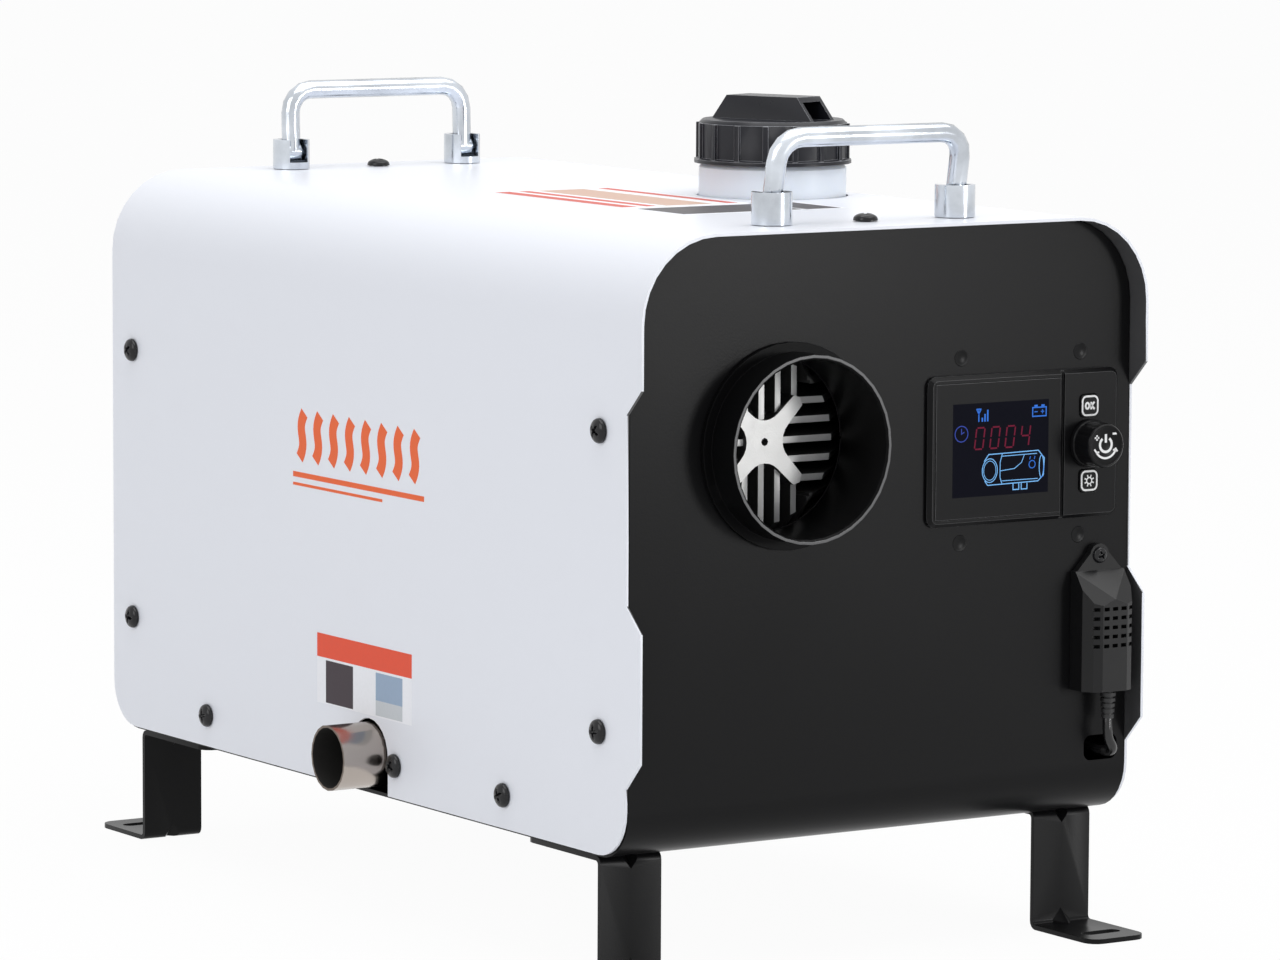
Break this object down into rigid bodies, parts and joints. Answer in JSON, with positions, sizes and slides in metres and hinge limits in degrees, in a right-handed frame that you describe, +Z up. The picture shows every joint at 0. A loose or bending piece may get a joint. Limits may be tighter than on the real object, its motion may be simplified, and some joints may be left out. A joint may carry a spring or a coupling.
{
  "type": "portable diesel air heater",
  "caption": "Portable diesel air heater in a white sheet-steel case on black legs, with hot-air outlet, controller, filler cap, exhaust stub and folding carry handles.",
  "frame": {"origin": "on the floor under the feet, at the middle of the object's length and width", "axes": "+X to the right seen from the controller end, +Y from the controller end to the rear, +Z up"},
  "size_m": [0.2628, 0.4524, 0.3316],
  "materials": {
    "white_paint": "semi-gloss powder coat",
    "black_paint": "semi-gloss powder coat",
    "screw_black": "black zinc, satin",
    "zinc": "bright zinc plate",
    "black_plastic": "fine-textured black",
    "cast_aluminium": "as cast",
    "steel": "plain sheet",
    "stainless": "polished, warm tint",
    "board": "solder mask",
    "tank_plastic": "translucent natural",
    "cap_plastic": "moulded",
    "rubber": "matt",
    "smoked_lens": "gloss"
  },
  "bodies": {
    "case": {"case_shell": "white_paint", "chassis": "black_paint", "leg_front_left": "black_paint", "leg_front_right": "black_paint", "leg_rear_left": "black_paint", "leg_rear_right": "black_paint", "case_screw_left_1": "screw_black", "case_screw_left_2": "screw_black", "case_screw_left_3": "screw_black", "case_screw_left_4": "screw_black", "case_screw_left_5": "screw_black", "case_screw_left_6": "screw_black", "case_screw_left_7": "screw_black", "case_screw_right_1": "screw_black", "case_screw_right_2": "screw_black", "case_screw_right_3": "screw_black", "case_screw_right_4": "screw_black", "case_screw_right_5": "screw_black", "case_screw_right_6": "screw_black", "case_screw_right_7": "screw_black", "case_screw_top_1": "screw_black", "case_screw_top_2": "screw_black", "handle_post_front_left": "zinc", "handle_post_front_right": "zinc", "handle_post_rear_left": "zinc", "handle_post_rear_right": "zinc", "outlet_duct": "black_plastic", "heater_case_upper": "black_plastic", "heater_case_lower": "black_plastic", "intake_silencer": "black_plastic", "controller_housing": "black_plastic", "sensor_housing": "black_plastic", "inlet_grille": "black_plastic", "power_inlet": "black_plastic", "heat_exchanger": "cast_aluminium", "blower_housing": "cast_aluminium", "burner_tube": "steel", "fan_motor": "steel", "heater_bracket": "steel", "tank_shelf": "steel", "fuel_pump": "steel", "exhaust_pipe": "stainless", "control_board": "board", "fuel_tank": "tank_plastic", "fuel_filter": "tank_plastic", "fuel_line_tank": "rubber", "fuel_line_burner": "rubber", "sensor_lead": "rubber", "display_lens": "smoked_lens"},
    "front_handle": {"handle_bail_front": "zinc"},
    "rear_handle": {"handle_bail_rear": "zinc"},
    "seal": {"cap_seal": "rubber"},
    "cap": {"fuel_cap": "cap_plastic"},
    "detent": {"encoder_wheel": "steel"},
    "knob": {"control_knob": "black_plastic"},
    "ok_key": {"ok_button": "black_plastic"},
    "settings_key": {"settings_button": "black_plastic"},
    "rotor": {"motor_shaft": "steel", "combustion_impeller": "cast_aluminium", "hot_air_fan": "black_plastic"}
  },
  "joints": [
    {"name": "front_handle_fold", "type": "hinge", "parent": "case", "child": "front_handle", "pos_m": [0.0081, -0.1912, 0.2981], "axis": [-1, 0, 0], "range_deg": [0, 100]},
    {"name": "rear_handle_fold", "type": "hinge", "parent": "case", "child": "rear_handle", "pos_m": [0.0081, 0.1848, 0.2981], "axis": [1, 0, 0], "range_deg": [0, 92]},
    {"name": "cap_lift", "type": "slide", "parent": "case", "child": "seal", "axis": [0, 0, 1], "range_m": [0, 0.0091]},
    {"name": "cap_turn", "type": "hinge", "parent": "seal", "child": "cap", "pos_m": [0.0591, -0.0512, 0.312], "axis": [0, 0, 1], "range_deg": [0, 540]},
    {"name": "knob_turn", "type": "hinge", "parent": "case", "child": "detent", "pos_m": [0.1045, -0.2072, 0.1998], "axis": [0, -1, 0], "continuous": true},
    {"name": "knob_push", "type": "slide", "parent": "detent", "child": "knob", "axis": [0, 1, 0], "range_m": [0, 0.0006], "stiffness_N_per_m": 600},
    {"name": "ok_press", "type": "slide", "parent": "case", "child": "ok_key", "axis": [0, 1, 0], "range_m": [0, 0.0008], "stiffness_N_per_m": 500},
    {"name": "settings_press", "type": "slide", "parent": "case", "child": "settings_key", "axis": [0, 1, 0], "range_m": [0, 0.0008], "stiffness_N_per_m": 500},
    {"name": "rotor_spin", "type": "hinge", "parent": "case", "child": "rotor", "pos_m": [-0.0379, 0.0928, 0.2062], "axis": [0, 1, 0], "continuous": true}
  ],
  "couplings": [
    {"joint": "cap_lift", "follows": "cap_turn", "m_per_rad": 0.00095493}
  ]
}
